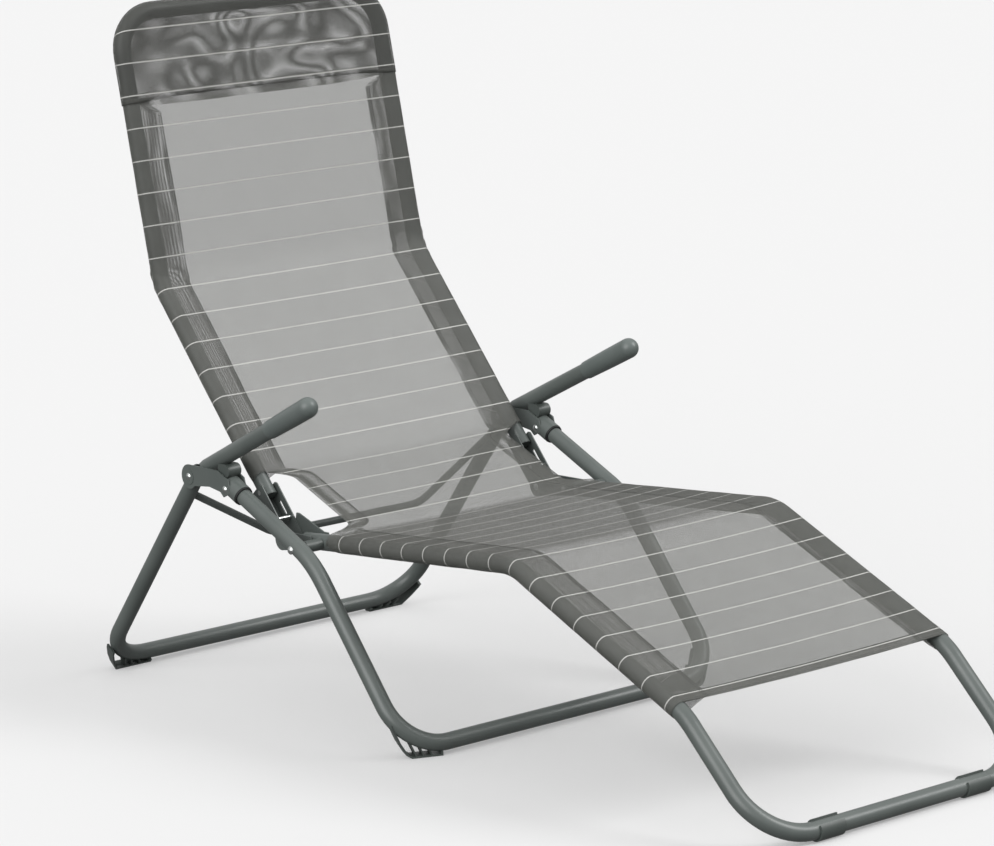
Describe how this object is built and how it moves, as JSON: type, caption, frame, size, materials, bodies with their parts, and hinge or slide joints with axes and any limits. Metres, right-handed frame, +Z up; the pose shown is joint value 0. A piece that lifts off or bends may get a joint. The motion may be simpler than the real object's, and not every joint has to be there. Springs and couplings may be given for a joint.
{
  "type": "reclining sun lounger",
  "caption": "Rocking sun lounger: tube stand with armrests, fabric seat and leg rest on a bent frame that tips at the hips, and a folding back with a head pocket.",
  "frame": {"origin": "on the ground, under the middle of the length and width", "axes": "+X towards the feet end, +Z up, and the left and right halves mirror across Y"},
  "size_m": [1.4936, 0.6442, 1.0446],
  "materials": {
    "frame_paint": "satin grey powder coat",
    "dark_plastic": "matt moulded plastic",
    "grip_plastic": "satin moulded plastic",
    "liner_rubber": "black moulded liner",
    "rivet_steel": "grey passivated rivet steel",
    "sling_fabric": "open woven mesh with pale cross stripes",
    "head_fabric": "doubled woven mesh"
  },
  "bodies": {
    "base": {"mid_frame": "frame_paint", "mid_shoe_left": "dark_plastic", "mid_shoe_right": "dark_plastic", "leg_plug_left": "dark_plastic", "leg_plug_right": "dark_plastic", "bracket_outer_left": "frame_paint", "bracket_outer_right": "frame_paint", "bracket_inner_left": "frame_paint", "bracket_inner_right": "frame_paint", "collar_liner_left": "liner_rubber", "collar_liner_right": "liner_rubber", "arm_saddle_left": "dark_plastic", "arm_saddle_right": "dark_plastic", "arm_tube_left": "frame_paint", "arm_tube_right": "frame_paint", "arm_grip_left": "grip_plastic", "arm_grip_right": "grip_plastic", "clamp_rivets": "rivet_steel", "leg_pivot_rivets": "rivet_steel", "hip_pins": "rivet_steel", "hip_spacers": "dark_plastic"},
    "rear_legs": {"rear_frame": "frame_paint", "rear_brace": "frame_paint", "rear_bushes": "liner_rubber", "rear_shoe_left": "dark_plastic", "rear_shoe_right": "dark_plastic"},
    "seat": {"seat_frame": "frame_paint", "seat_plates_left": "frame_paint", "seat_plates_right": "frame_paint", "seat_rivets": "rivet_steel", "seat_end_plugs": "dark_plastic", "front_clip_left": "dark_plastic", "front_clip_right": "dark_plastic", "seat_sling": "sling_fabric", "leg_sling": "sling_fabric", "hip_sling": "sling_fabric"},
    "back": {"back_frame": "frame_paint", "back_bracket_left": "frame_paint", "back_bracket_right": "frame_paint", "back_rivets": "rivet_steel", "back_end_plugs": "dark_plastic", "hinge_pins": "rivet_steel", "low_back_sling": "sling_fabric", "high_back_sling": "sling_fabric", "head_pocket": "head_fabric"}
  },
  "joints": [
    {"name": "seat_tilt", "type": "hinge", "parent": "base", "child": "seat", "pos_m": [-0.203, 0, 0.2775], "axis": [0, 1, 0], "range_deg": [-25, 28]},
    {"name": "back_fold", "type": "hinge", "parent": "seat", "child": "back", "pos_m": [-0.293, 0, 0.27044], "axis": [0, 1, 0], "range_deg": [0, 105]},
    {"name": "rear_fold", "type": "hinge", "parent": "base", "child": "rear_legs", "pos_m": [-0.45, 0, 0.354], "axis": [0, -1, 0], "range_deg": [0, 92.4]}
  ],
  "couplings": [
    {"joint": "rear_fold", "follows": "back_fold", "ratio": 0.88}
  ]
}
